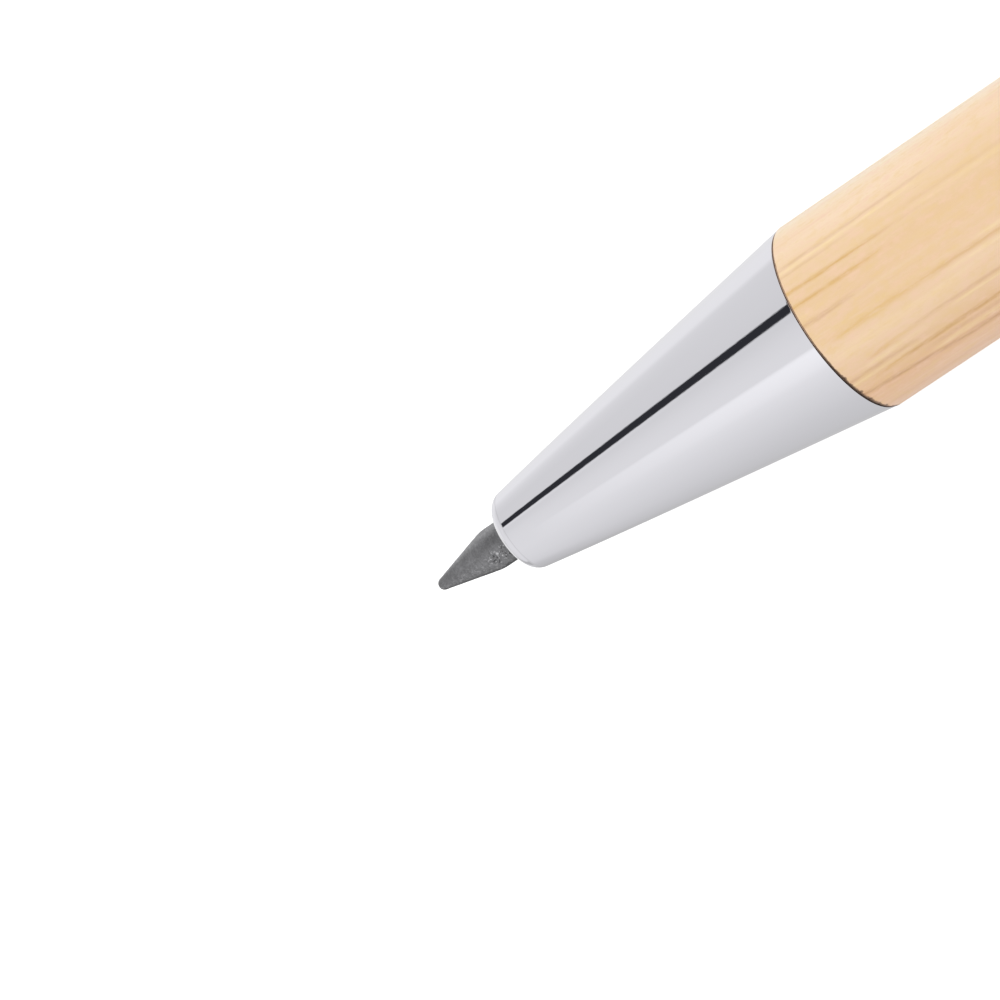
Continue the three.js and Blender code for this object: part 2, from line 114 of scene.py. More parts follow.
def lathe(name, profile, material, sides=192, relief=None, smooth_angle=35):
    """A closed profile of (x, r) points turned about X. relief(x, r, angle) may change r."""
    area = sum(
        a[0] * b[1] - b[0] * a[1]
        for a, b in zip(profile, profile[1:] + profile[:1])
    )
    if area < 0:
        profile = profile[::-1]
    angles = [2 * math.pi * i / sides for i in range(sides)]
    points, rings = [], []
    for x, r in profile:
        if r <= 0:
            rings.append([len(points)])
            points.append((x, 0.0, 0.0))
            continue
        rings.append(list(range(len(points), len(points) + sides)))
        for angle in angles:
            here = (relief(x, r, angle) if relief else r) * INSIDE
            points.append((x, here * math.cos(angle), here * math.sin(angle)))
    faces = []
    for i, ring in enumerate(rings):
        other = rings[(i + 1) % len(rings)]
        if len(ring) == 1 and len(other) == 1:
            continue
        for k in range(sides):
            n = (k + 1) % sides
            if len(ring) == 1:
                faces.append((ring[0], other[n], other[k]))
            elif len(other) == 1:
                faces.append((ring[k], ring[n], other[0]))
            else:
                faces.append((ring[k], ring[n], other[n], other[k]))
    return mesh_object(name, points, faces, material, smooth_angle)


def arc(x, r, radius, start, stop, steps):
    """Points of an arc; angles in degrees from +x towards +r."""
    out = []
    for i in range(steps + 1):
        a = math.radians(start + (stop - start) * i / steps)
        out.append((x + radius * math.cos(a), r + radius * math.sin(a)))
    return out


def spread(a, b, steps):
    """Points between two profile points, without the first."""
    return [
        (a[0] + (b[0] - a[0]) * i / steps, a[1] + (b[1] - a[1]) * i / steps)
        for i in range(1, steps + 1)
    ]


def bent(start, corner, end, steps):
    """Points of a quadratic curve from start to end, without the first."""
    out = []
    for i in range(1, steps + 1):
        t = i / steps
        out.append(tuple((1 - t) ** 2 * a + 2 * t * (1 - t) * b + t * t * c
                         for a, b, c in zip(start, corner, end)))
    return out


# ---------------------------------------------------------------- shader nodes

class Graph:
    """Shorthand for building a node tree. Inputs are numbers, colours or sockets."""

    def __init__(self, tree):
        self.tree = tree
        tree.nodes.clear()

    def add(self, kind, props=(), **inputs):
        """A node; its inputs go by name, with _ for a space, or by number, as in i0."""
        node = self.tree.nodes.new(kind)
        for key, value in dict(props).items():
            setattr(node, key, value)
        for key, value in inputs.items():
            name = key.replace("_", " ")
            socket = node.inputs[int(name[1:])] if name[1:].isdigit() else node.inputs[name]
            self.put(socket, value)
        return node

    def put(self, socket, value):
        if isinstance(value, bpy.types.NodeSocket):
            self.tree.links.new(value, socket)
        elif value is not None:
            socket.default_value = value

    def math(self, operation, a, b=0.0, c=0.0, clamp=False):
        node = self.add("ShaderNodeMath", {"operation": operation, "use_clamp": clamp})
        for i, value in enumerate((a, b, c)):
            self.put(node.inputs[i], value)
        return node.outputs[0]

    def vector(self, operation, a, b):
        return self.add("ShaderNodeVectorMath", {"operation": operation}, i0=a, i1=b).outputs[0]

    def mapped(self, value, low, high, to_low=0.0, to_high=1.0, smooth=False):
        kind = "SMOOTHSTEP" if smooth else "LINEAR"
        node = self.add("ShaderNodeMapRange", {"interpolation_type": kind, "clamp": True})
        for name, v in (("Value", value), ("From Min", low), ("From Max", high),
                        ("To Min", to_low), ("To Max", to_high)):
            self.put(node.inputs[name], v)
        return node.outputs["Result"]

    def noise(self, vector, scale, detail=2.0, rough=0.5):
        return self.add("ShaderNodeTexNoise", Vector=vector, Scale=scale, Detail=detail,
                        Roughness=rough).outputs["Fac"]

    def mix(self, factor, a, b):
        """Colour a where the factor is 0, colour b where it is 1."""
        return self.add("ShaderNodeMix", {"data_type": "RGBA"}, i0=factor, i6=a, i7=b).outputs[2]

    def either(self, factor, a, b):
        """Shader node a where the factor is 0, shader node b where it is 1."""
        return self.add("ShaderNodeMixShader", Fac=factor, i1=a.outputs[0], i2=b.outputs[0])

    def ramp(self, factor, stops):
        """stops are pairs of a place and a colour or a grey."""
        node = self.add("ShaderNodeValToRGB", Fac=factor)
        elements = node.color_ramp.elements
        while len(elements) < len(stops):
            elements.new(0.5)
        for element, (place, _) in zip(elements, stops):
            element.position = place
        for element, (_, colour) in zip(elements, stops):
            element.color = colour if isinstance(colour, tuple) else (colour,) * 3 + (1,)
        return node.outputs["Color"]

    def round_ramp(self, turn, stops):
        """A ramp whose places are angles from -180 to 180 degrees."""
        return self.ramp(self.math("MULTIPLY_ADD", turn, 1 / 360, 0.5),
                         [(angle / 360 + 0.5, colour) for angle, colour in stops])

    def scaled(self, vector, factors):
        return self.vector("MULTIPLY", vector, factors)

    def parts(self, vector):
        """x, y and z of a vector."""
        return self.add("ShaderNodeSeparateXYZ", Vector=vector).outputs

    def turn(self, y, z):
        """Angle about X in degrees, from +Z towards +Y."""
        return self.math("DEGREES", self.math("ARCTAN2", y, z))

    def squares(self, a, b):
        return self.math("ADD", self.math("MULTIPLY", a, a), self.math("MULTIPLY", b, b))

    def bump(self, height, distance, strength=1.0):
        node = self.add("ShaderNodeBump", Strength=strength, Distance=distance, Height=height)
        return node.outputs["Normal"]


def hex_colour(text):
    """Linear colour of an sRGB hex code."""
    out = []
    for i in (0, 2, 4):
        v = int(text[i:i + 2], 16) / 255
        out.append(v / 12.92 if v <= 0.04045 else ((v + 0.055) / 1.055) ** 2.4)
    return (*out, 1.0)


def material(name, **constants):
    """A new material, its graph, its shader and the place on the piece in millimetres from
    the mouth and the axis."""
    made = bpy.data.materials.new(name)
    made.use_nodes = True
    g = Graph(made.node_tree)
    shader = g.add("ShaderNodeBsdfPrincipled")
    for key, value in constants.items():
        shader.inputs[key.replace("_", " ")].default_value = value
    out = g.add("ShaderNodeOutputMaterial")
    g.put(out.inputs["Surface"], shader.outputs[0])
    here = g.add("ShaderNodeTexCoord").outputs["Object"]
    at = g.scaled(here, (1 / MM,) * 3)
    at = g.vector("SUBTRACT", at, (MOUTH_X, 0.0, AXIS_Z))
    return made, g, shader, at


CHROME_COLOUR = (0.76, 0.755, 0.795, 1)
# A painted highlight round the mouth, drawn as a pale, less metallic, rougher ring: its colour,
# its radius from where it starts to where it is full, and its depth in the same way
MOUTH_HIGHLIGHT_COLOUR = (0.90, 0.90, 0.92, 1)
MOUTH_HIGHLIGHT_RADIUS = (2.20, 2.06)
MOUTH_HIGHLIGHT_DEPTH = (0.6, 0.5)


def chrome_material(name, mouth_highlight=False):
    """Chrome plate, for the nose with a painted highlight round the mouth: a pale matt ring."""
    made, g, shader, at = material(name, Metallic=1.0, Base_Color=CHROME_COLOUR, IOR=1.5)
    cloud = g.noise(at, 0.9, 2.0)
    fine = g.noise(g.scaled(at, (0.6, 5.0, 5.0)), 3.0, 3.0)
    rough = g.math("MULTIPLY_ADD", cloud, 0.015, 0.012)
    rough = g.math("MULTIPLY_ADD", fine, 0.01, rough)
    if mouth_highlight:
        # Painted highlight: the ring round the mouth is pale, less metallic and rougher
        x, y, z = g.parts(at)
        ring = g.mapped(g.math("SQRT", g.squares(y, z)), *MOUTH_HIGHLIGHT_RADIUS, smooth=True)
        ring = g.math("MULTIPLY", ring, g.mapped(x, *MOUTH_HIGHLIGHT_DEPTH))
        g.put(shader.inputs["Base Color"], g.mix(ring, CHROME_COLOUR, MOUTH_HIGHLIGHT_COLOUR))
        g.put(shader.inputs["Metallic"], g.math("MULTIPLY_ADD", ring, -0.8, 1.0))
        rough = g.math("MULTIPLY_ADD", ring, 0.5, rough)
    g.put(shader.inputs["Roughness"], rough)
    g.put(shader.inputs["Normal"], g.bump(fine, 0.0000004))
    return made


# Painted light and shade of the writing tip by the angle round it, as a factor of its colour: a
# painted highlight on one side and a painted dark line along the other flank. Ahead of
# TIP_TURN_FROM it turns by TIP_TURN degrees per millimetre.
TIP_PAINTED_SHADE = [
    (-180, 0.90), (-112, 0.92), (-98, 0.65), (-88, 0.30), (-76, 0.26), (-71, 0.32),
    (-66, 0.52), (-60, 0.74), (-54, 0.93), (-40, 1.10), (-20, 1.02), (4, 0.92),
    (20, 0.80), (28, 0.83), (33, 0.87), (38, 0.99), (44, 1.12), (50, 1.34), (56, 1.47),
    (63, 1.50), (72, 1.34), (80, 1.30), (100, 1.00), (180, 0.90),
]
TIP_TURN_FROM = -1.5
TIP_TURN = 2.5
# The rough patch: its middle and half size, as angle and x
ROUGH_ANGLE, ROUGH_HALF_ANGLE = -22.0, 20.0
ROUGH_X, ROUGH_HALF_LENGTH = -0.75, 0.95
PAINTED_DARK_LINE_ANGLE = -84.0         # middle of the painted dark line along one flank, which is matt there too


def graphite_material():
    made, g, shader, at = material("graphite_alloy", IOR=1.6)
    x, y, z = g.parts(at)
    angle = g.turn(y, z)
    cloud = g.noise(at, 1.1, 3.0, 0.6)
    grain = g.noise(at, 8.0, 4.0, 0.75)
    tone = g.math("ADD", g.math("MULTIPLY", cloud, 0.55), g.math("MULTIPLY", grain, 0.45))
    colour = g.ramp(tone, [(0.34, hex_colour("606062")), (0.5, hex_colour("757577")),
                           (0.66, hex_colour("8a8a8d"))])
    # Polishing lines round the cone
    lines = g.noise(g.scaled(at, (5.0, 1.2, 1.2)), 2.2, 3.0, 0.7)
    colour = g.mix(g.mapped(lines, 0.56, 0.66, 0.0, 0.18), colour, hex_colour("a6a6a8"))
    colour = g.mix(g.mapped(lines, 0.44, 0.34, 0.0, 0.25), colour, hex_colour("4e4e50"))
    ahead = g.math("MINIMUM", g.math("SUBTRACT", x, TIP_TURN_FROM), 0.0)
    turn = g.math("MULTIPLY_ADD", ahead, TIP_TURN, angle)
    # A ramp holds no more than 1, so it has half the painted shade and highlight
    shade = g.round_ramp(turn, [(place, factor / 2) for place, factor in TIP_PAINTED_SHADE])
    colour = g.vector("MULTIPLY", colour, g.scaled(shade, (2, 2, 2)))
    # A rough patch behind the shoulder, with bright grains and pits
    side = g.math("DIVIDE", g.math("SUBTRACT", angle, ROUGH_ANGLE), ROUGH_HALF_ANGLE)
    away = g.math("DIVIDE", g.math("SUBTRACT", x, ROUGH_X), ROUGH_HALF_LENGTH)
    patch = g.math("ADD", g.squares(side, away), g.math("MULTIPLY_ADD", cloud, 3.0, -1.5))
    patch = g.mapped(patch, 1.5, 0.4, smooth=True)
    low_side = g.mapped(angle, 10.0, -30.0, 0.15, 1.0)
    specks = g.mapped(g.noise(at, 6.0, 2.0, 0.6), 0.56, 0.62, smooth=True)
    share = g.math("MULTIPLY_ADD", patch, 0.55, g.math("MULTIPLY", low_side, 0.16))
    colour = g.mix(g.math("MULTIPLY", specks, share), colour, hex_colour("e2e2e4"))
    pits = g.mapped(g.noise(at, 6.6, 2.0, 0.6), 0.45, 0.39, smooth=True)
    share = g.math("MULTIPLY_ADD", patch, 0.60, g.math("MULTIPLY", low_side, 0.22))
    colour = g.mix(g.math("MULTIPLY", pits, share), colour, hex_colour("262628"))
    g.put(shader.inputs["Base Color"], colour)
    # The painted dark line along one flank neither shines nor reflects as metal
    shine = g.math("ABSOLUTE", g.math("SUBTRACT", turn, PAINTED_DARK_LINE_ANGLE))
    shine = g.mapped(shine, 14.0, 32.0, smooth=True)
    g.put(shader.inputs["Metallic"], g.math("MULTIPLY", shine, 0.35))
    rough = g.mapped(grain, 0.3, 0.7, 0.62, 0.42)
    dull = g.math("MULTIPLY_ADD", shine, -0.4, 0.4)
    g.put(shader.inputs["Roughness"], g.math("ADD", rough, dull, clamp=True))
    g.put(shader.inputs["Normal"], g.bump(grain, 0.00003, 0.8))
    return made


# Streaks of the front half that the photograph shows: kind, angle, drift in degrees per
# millimetre, half width in degrees, first and last x, strength
STREAKS = [
    ("brown", 41.2, 0.19, 2.0, 21, 34, 0.21),
    ("light", 38.9, 0.10, 2.0, 21, 33, 0.46),
    ("brown", 36.5, 0.00, 1.6, 21, 28, 0.18),
    ("brown", 30.8, 0.00, 2.4, 29, 40, 0.07),
    ("light", 27.5, 0.00, 2.5, 30, 40, 0.20),
    ("ochre", 26.0, 0.00, 2.3, 21, 30, 0.50),
    ("brown", 25.8, 0.00, 1.4, 22, 33, 0.10),
    ("ochre", 17.4, 0.05, 2.2, 21, 29.5, 0.46),
    ("brown", 17.6, 0.05, 1.3, 21, 28, 0.10),
    ("light", 11.0, 0.00, 3.0, 21, 25.5, 0.20),
    ("brown", 5.9, 0.15, 2.4, 21, 27.5, 0.36),
    ("honey", -4.5, 0.00, 5.0, 22.5, 32, 0.20),
    ("honey", -7.6, 0.00, 4.5, 23, 30, 0.22),
    ("light", -5.0, 0.00, 2.0, 32, 40, 0.35),
    ("ochre", -7.8, 0.00, 3.0, 22.5, 42, 0.28),
    ("brown", -8.0, 0.00, 1.8, 29, 44, 0.12),
    ("light", -11.5, 0.00, 1.8, 30, 40, 0.40),
    ("ochre", -14.4, 0.00, 1.8, 26, 33, 0.12),
    ("light", -17.0, 0.00, 5.5, 22, 33, 0.22),
    ("ochre", -28.6, 0.38, 2.4, 23.5, 28.5, 0.38),
    ("brown", -26.2, 0.02, 2.0, 26.5, 40, 0.24),
    ("light", -28.6, 0.00, 1.5, 29, 40, 0.40),
    ("light", -31.0, 0.00, 2.5, 23, 29, 0.35),
    ("brown", -34.1, -0.10, 2.6, 21, 28.5, 0.28),
    ("light", -37.0, 0.00, 2.2, 21, 28, 0.30),
    ("ochre", -39.4, 0.03, 2.6, 23, 40, 0.38),
    ("brown", -39.4, 0.03, 2.2, 25, 40, 0.28),
    ("brown", -43.0, -0.10, 2.5, 26, 38, 0.18),
    ("light", -46.5, -0.10, 3.2, 26.5, 38, 0.38),
    ("brown", -46.2, -0.88, 2.8, 21, 31, 0.46),
    ("brown", -52.3, -0.02, 3.2, 27, 42, 0.44),
    ("brown", -68.5, 0.00, 4.0, 22, 33, 0.10),
]
# In the order in which they lie over one another
STREAK_COLOURS = {"honey": "e9c66a", "ochre": "d8a845", "brown": "bb8a62", "light": "ffe6b4"}
STREAK_DRIFT_FROM = 22.0   # x at which a streak is at its angle
STREAK_FADE_IN = (-0.3, 1.2)        # past its first x
STREAK_FADE_OUT = (0.0, 4.5)        # before its last x
# Finer lines where a slow noise crosses a value: shift of the noise, then kind, value, strength
LINES = [
    (0.0, [("ochre", 0.50, 0.70), ("brown", 0.43, 0.45)]),
    (31.0, [("brown", 0.52, 0.40), ("light", 0.45, 0.45)]),
    (57.0, [("ochre", 0.47, 0.45), ("light", 0.55, 0.40)]),
]
LINE_HALF_WIDTH = 0.016    # in values of that noise
LINES_FROM = (34.0, 46.0)  # x from which the front half has them, and has them in full

# Ground colour of the bamboo by the angle round it: its own tone, with painted sheen in the
# paler, creamier stops from 58 to 82 degrees, on the lamp's side, and at -86
GROUND_TONE_AND_SHEEN = [
    (-180, (0.80, 0.56, 0.36, 1)), (-120, (0.81, 0.54, 0.36, 1)),
    (-86, (0.87, 0.62, 0.47, 1)), (-76, (0.87, 0.58, 0.41, 1)),
    (-62, (0.87, 0.57, 0.37, 1)), (-48, (0.85, 0.54, 0.330, 1)), (-34, (0.86, 0.59, 0.355, 1)),
    (-18, (0.90, 0.655, 0.44, 1)), (0, (0.865, 0.610, 0.380, 1)), (20, (0.85, 0.600, 0.36, 1)),
    (40, (0.88, 0.640, 0.40, 1)), (58, (0.96, 0.735, 0.53, 1)), (72, (0.97, 0.80, 0.59, 1)),
    (82, (0.96, 0.83, 0.665, 1)), (130, (0.85, 0.66, 0.46, 1)), (180, (0.80, 0.56, 0.36, 1)),
]
END_GRAIN_DEPTH = 0.03     # from the end faces, and the length over which it fades
END_GRAIN_FADE = 0.02
# The dark brown band behind the front edge grows from one angle to the other, and so does its
# reach
DARK_EDGE_ANGLE, DARK_EDGE_REACH = (-5.0, -80.0), (0.03, 0.19)
# Chips of the front edge: angle and length
CHIPS = [(-30.0, 0.18), (-43.5, 0.25), (-52.5, 0.22)]
CHIP_HALF_ANGLE = 1.6


def streak_group():
    """A node group that draws one streak."""
    tree = bpy.data.node_groups.new("streak", "ShaderNodeTree")
    for name in ("Angle", "X", "Wobble", "Centre", "Drift", "Width", "From", "To", "Strength"):
        tree.interface.new_socket(name, in_out="INPUT", socket_type="NodeSocketFloat")
    tree.interface.new_socket("Value", in_out="OUTPUT", socket_type="NodeSocketFloat")
    g = Graph(tree)
    given = g.add("NodeGroupInput").outputs
    out = g.add("NodeGroupOutput")
    along = g.math("SUBTRACT", given["X"], STREAK_DRIFT_FROM)
    centre = g.math("MULTIPLY_ADD", along, given["Drift"], given["Centre"])
    off = g.math("SUBTRACT", g.math("ADD", given["Angle"], given["Wobble"]), centre)
    off = g.math("DIVIDE", g.math("ABSOLUTE", off), given["Width"])
    across = g.mapped(off, 1.0, 0.0, smooth=True)
    start = g.math("SUBTRACT", given["X"], given["From"])
    start = g.mapped(start, *STREAK_FADE_IN, smooth=True)
    stop = g.math("SUBTRACT", given["To"], given["X"])
    stop = g.mapped(stop, *STREAK_FADE_OUT, smooth=True)
    value = g.math("MULTIPLY", g.math("MULTIPLY", across, start), stop)
    g.put(out.inputs[0], g.math("MULTIPLY", value, given["Strength"]))
    return tree


def bamboo_material(name, node, streaks=()):
    """Bamboo for one half of the barrel. The front half has the streaks and a dark brown front
    edge.
    """
    made, g, shader, at = material(name, IOR=1.45)
    first, last = place_of(node)
    x, y, z = g.parts(at)
    angle = g.turn(y, z)

    # Ground tone round the barrel: ochre on top, pinkish on one side, and on the other a cream
    # that is partly painted sheen
    turn = g.math("ADD", angle, g.math("MULTIPLY_ADD", g.noise(at, 0.12, 1.0), 16.0, -8.0))
    ground_and_sheen = g.round_ramp(turn, GROUND_TONE_AND_SHEEN)
    # Fine fibres and broader strips along the barrel
    fibre = g.noise(g.scaled(at, (0.05, 3.6, 3.6)), 1.7, 4.0, 0.62)
    strip = g.noise(g.scaled(at, (0.03, 0.9, 0.9)), 1.0, 2.0, 0.5)
    calm = g.mapped(g.noise(g.scaled(at, (0.04, 0.25, 0.25)), 1.0, 1.0), 0.40, 0.60, 0.35, 1.0)
    ground_and_sheen = g.mix(g.math("MULTIPLY", g.mapped(fibre, 0.52, 0.75, 0.0, 0.26), calm), ground_and_sheen,
                   hex_colour("e0b47c"))
    ground_and_sheen = g.mix(g.math("MULTIPLY", g.mapped(fibre, 0.46, 0.28, 0.0, 0.30), calm), ground_and_sheen,
                   hex_colour("fbe6c6"))
    ground_and_sheen = g.mix(g.mapped(strip, 0.5, 0.72, 0.0, 0.18), ground_and_sheen, hex_colour("e9b878"))

    # A faint mottle, pinkish and yellowish
    mottle = g.noise(g.scaled(at, (1.1, 2.2, 2.2)), 1.0, 4.0, 0.7)
    ground_and_sheen = g.mix(g.mapped(mottle, 0.50, 0.66, 0.0, 0.50), ground_and_sheen, hex_colour("f6cfb4"))
    ground_and_sheen = g.mix(g.mapped(mottle, 0.50, 0.34, 0.0, 0.45), ground_and_sheen, hex_colour("eecb90"))

    wobble = g.math("MULTIPLY_ADD", g.noise(g.scaled(at, (0.35, 0.2, 0.2)), 1.0, 3.0), 1.2, -0.6)
    sums = dict.fromkeys(STREAK_COLOURS, 0.0)
    group = streak_group() if streaks else None
    for kind, centre, drift, width, start, stop, strength in streaks:
        streak = g.add("ShaderNodeGroup", {"node_tree": group}, Angle=angle, X=x, Wobble=wobble,
                       Centre=centre, Drift=drift, Width=width, From=float(start),
                       To=float(stop), Strength=strength)
        sums[kind] = g.math("MAXIMUM", streak.outputs[0], sums[kind])
    further = g.mapped(x, *LINES_FROM, smooth=True) if streaks else 1.0
    for shift, kinds in LINES:
        moved = g.vector("ADD", at, (shift,) * 3)
        ridge = g.noise(g.scaled(moved, (0.016, 0.85, 0.85)), 1.0, 2.0, 0.45)
        mask = g.noise(g.scaled(moved, (0.06, 0.45, 0.45)), 1.0, 1.0)
        mask = g.math("MULTIPLY", g.mapped(mask, 0.40, 0.56, smooth=True), further)
        for kind, value, strength in kinds:
            off = g.math("ABSOLUTE", g.math("SUBTRACT", ridge, value))
            line = g.math("MULTIPLY", g.mapped(off, LINE_HALF_WIDTH, 0.0, smooth=True), mask)
            sums[kind] = g.math("MAXIMUM", g.math("MULTIPLY", line, strength), sums[kind])
    # Streaks and lines are broken up along the fibres
    broken = g.noise(g.scaled(at, (0.55, 5.0, 5.0)), 1.6, 4.0, 0.75)
    broken = g.mapped(broken, 0.38, 0.58, 0.40, 1.15, smooth=True)
    colour = ground_and_sheen
    for kind, code in STREAK_COLOURS.items():
        colour = g.mix(g.math("MULTIPLY", sums[kind], broken), colour, hex_colour(code))
    # Short dark pores
    pore = g.noise(g.scaled(at, (0.55, 7.0, 7.0)), 2.0, 2.0, 0.6)
    colour = g.mix(g.mapped(pore, 0.70, 0.80, 0.0, 0.22), colour, hex_colour("b98a52"))
    # End grain: ends of the dark fibre bundles, denser towards the outside
    middle = (first + last) / 2
    radius = g.math("SQRT", g.squares(y, z))
    on_end = g.math("ABSOLUTE", g.math("SUBTRACT", x, middle))
    on_end = g.math("SUBTRACT", on_end, middle - first - END_GRAIN_DEPTH)
    on_end = g.mapped(on_end, 0.0, END_GRAIN_FADE)
    bundles = g.add("ShaderNodeTexVoronoi", Vector=at, Scale=3.4).outputs["Distance"]
    dot = g.mapped(bundles, g.mapped(radius, 4.0, 5.4, 0.22, 0.36), 0.12, 0.0, 0.75, smooth=True)
    colour = g.mix(g.math("MULTIPLY", on_end, dot), colour, hex_colour("8f6238"))
    # The front edge is dark brown behind it, more so towards the lower side, and darker at its
    # chips
    if streaks:
        from_edge = g.math("SUBTRACT", x, first)
        wave = g.noise(at, 3.5, 3.0, 0.7)
        reach = g.math("MULTIPLY", g.mapped(angle, *DARK_EDGE_ANGLE, *DARK_EDGE_REACH),
                       g.mapped(wave, 0.35, 0.65, 0.5, 1.5))
        dark_edge = g.mapped(g.math("DIVIDE", from_edge, reach), 1.3, 0.5, smooth=True)
        dark_edge = g.math("MULTIPLY", dark_edge, g.mapped(angle, 10.0, -30.0, 0.10, 0.90))
        dark_edge = g.math("MULTIPLY", dark_edge, g.mapped(radius, 5.15, 5.38, smooth=True))
        for place, size in CHIPS:
            side = g.math("DIVIDE", g.math("SUBTRACT", angle, place), CHIP_HALF_ANGLE)
            spot = g.squares(side, g.math("DIVIDE", from_edge, size))
            spot = g.mapped(spot, 1.0, 0.3, 0.0, 0.8, smooth=True)
            dark_edge = g.math("MAXIMUM", dark_edge, spot)
        colour = g.mix(dark_edge, colour, hex_colour("6a4f3d"))
    g.put(shader.inputs["Base Color"], colour)
    g.put(shader.inputs["Roughness"], g.mapped(fibre, 0.3, 0.7, 0.40, 0.56))
    height = g.math("ADD", fibre, g.math("MULTIPLY", pore, 0.5))
    g.put(shader.inputs["Normal"], g.bump(height, 0.000012, 0.6))
    return made


def seam_material():
    """Dark brown rubber, painted pale as painted light where light would reach into the seam."""
    made, g, shader, at = material("seam_washer", Roughness=0.7)
    _, y, z = g.parts(at)
    angle = g.turn(y, z)
    cloud = g.noise(at, 3.0, 4.0, 0.6)
    pale = g.ramp(cloud, [(0.3, hex_colour("a98f7b")), (0.7, hex_colour("c4a893"))])
    dark = g.ramp(cloud, [(0.3, hex_colour("523f33")), (0.7, hex_colour("705847"))])
    # Painted light: pale from about -28 to 95 degrees round the seam, dark brown elsewhere
    side = g.mapped(angle, 12.0, -28.0, smooth=True)
    side = g.math("MAXIMUM", side, g.mapped(angle, 95.0, 120.0, smooth=True))
    g.put(shader.inputs["Base Color"], g.mix(side, pale, dark))
    g.put(shader.inputs["Normal"], g.bump(cloud, 0.00001, 0.5))
    return made


def turned_metal(name, colour, dark, rough):
    """Turned brass or steel: fine rings about X and a light tarnish."""
    made, g, shader, at = material(name, Metallic=1.0)
    rings = g.noise(g.scaled(at, (9.0, 0.3, 0.3)), 1.5, 3.0, 0.7)
    cloud = g.noise(at, 0.7, 3.0)
    tone = g.math("ADD", g.math("MULTIPLY", rings, 0.5), g.math("MULTIPLY", cloud, 0.5))
    g.put(shader.inputs["Base Color"],
          g.ramp(tone, [(0.35, hex_colour(dark)), (0.65, hex_colour(colour))]))
    g.put(shader.inputs["Roughness"], g.mapped(rings, 0.3, 0.7, rough, rough + 0.12))
    g.put(shader.inputs["Normal"], g.bump(rings, 0.000004, 0.5))
    return made


def moulded(name, colour, dark, rough, scale):
    """Moulded plastic or rubber with a faint mottle."""
    made, g, shader, at = material(name)
    cloud = g.noise(at, scale, 4.0, 0.6)
    g.put(shader.inputs["Base Color"],
          g.ramp(cloud, [(0.3, hex_colour(dark)), (0.7, hex_colour(colour))]))
    g.put(shader.inputs["Roughness"], g.mapped(cloud, 0.3, 0.7, rough, rough + 0.1))
    g.put(shader.inputs["Normal"], g.bump(cloud, 0.00001, 0.5))
    return made


CHROME = chrome_material("chrome_plate")
CHROME_NOSE = chrome_material("chrome_nose", mouth_highlight=True)
SPRING = chrome_material("plated_spring_steel")
GRAPHITE = graphite_material()
BAMBOO_FRONT = bamboo_material("bamboo_front_half", "lower_barrel", STREAKS)
BAMBOO_REAR = bamboo_material("bamboo_rear_half", "upper_barrel")
BRASS = turned_metal("turned_brass", "d9b566", "b48a3c", 0.22)
STEEL = turned_metal("drawn_steel", "c9ccd0", "9a9ea4", 0.2)
PLASTIC = moulded("moulded_plastic", "ece9e2", "dcd8ce", 0.42, 2.0)
RUBBER = moulded("soft_rubber", "231f1e", "141110", 0.65, 4.0)
SEAM = seam_material()

# ---------------------------------------------------------------- pieces

TIP_RADIUS = 1.19
TIP_POINT = 0.36
TIP_CONE = 3.75
TIP_SHOULDER = -1.5
TIP_SHOULDER_ROUND = 0.35
TIP_ROUGH_UP_TO = 1.0      # x, inside the nose
TIP_WEAR = 0.012           # mean depth of the rough surface, and half of its swing
TIP_REAR_CHAMFER = 0.1
TIP_LEAN = 0.06            # writing has worn the point a little to one side


def writing_tip():
    first, last = place_of("graphite_tip")
    slope = (TIP_RADIUS - TIP_POINT) / (TIP_CONE - TIP_POINT)
    lean = math.degrees(math.atan(slope))
    profile = [(first, 0.0)] + arc(first + TIP_POINT, 0, TIP_POINT, 180, 90 + lean, 14)[1:]
    before = (TIP_SHOULDER - TIP_SHOULDER_ROUND, TIP_RADIUS - slope * TIP_SHOULDER_ROUND)
    after = (TIP_SHOULDER + TIP_SHOULDER_ROUND, TIP_RADIUS)
    profile += spread(profile[-1], before, 40)
    profile += bent(before, (TIP_SHOULDER, TIP_RADIUS), after, 8)
    profile += spread(profile[-1], (TIP_ROUGH_UP_TO + 0.5, TIP_RADIUS), 24)
    profile += [(last - TIP_REAR_CHAMFER, TIP_RADIUS), (last, TIP_RADIUS - TIP_REAR_CHAMFER),
                (last, 0.0)]

    def relief(x, r, angle):
        if x > TIP_ROUGH_UP_TO:
            return r
        at = Vector((x, r * math.cos(angle), r * math.sin(angle)))
        rough = noise.noise(at * 1.6) * 0.5 + noise.noise(at * 7.0) * 0.35
        return r - TIP_WEAR * (1 + rough) * min(1.0, r / TIP_POINT)

    piece = lathe("writing_tip", profile, GRAPHITE, 160, relief, 60)
    for vertex in piece.data.vertices:
        ahead = (TIP_SHOULDER - (vertex.co.x / MM - MOUTH_X)) / TIP_CONE
        vertex.co.y -= TIP_LEAN * MM * max(0.0, ahead)
    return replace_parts(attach(piece, "cartridge"), "graphite_tip")


MOUTH_RADIUS = 1.27
MOUTH_LEAD = 0.07
MOUTH_LEAD_ROUND = 0.02
MOUTH_BORE_LENGTH = 2.6
NOSE_END_RADIUS = 2.35
NOSE_END_FILLET = 0.85
NOSE_LENGTH = 22.0
NOSE_BASE_RADIUS = 5.46
NOSE_BASE_ROUND = 0.03
NOSE_BULGE = 0.05
NOSE_BULGE_PLACE = 0.25    # share of the nose's length at which it bulges most
SPIGOT_X = 22.12
SPIGOT_RADIUS = 2.70
SPIGOT_RELIEF = 0.2
SPIGOT_NECK = 1.0          # length of the neck before the thread
SPIGOT_FILLET = 0.1
THREAD_PITCH = 0.5
THREAD_DEPTH = 0.16
CHAMBER_RADIUS = 1.95
CHAMBER_X = 3.8            # the bore widens from the mouth's bore up to here
CHAMBER_CHAMFER = 0.06


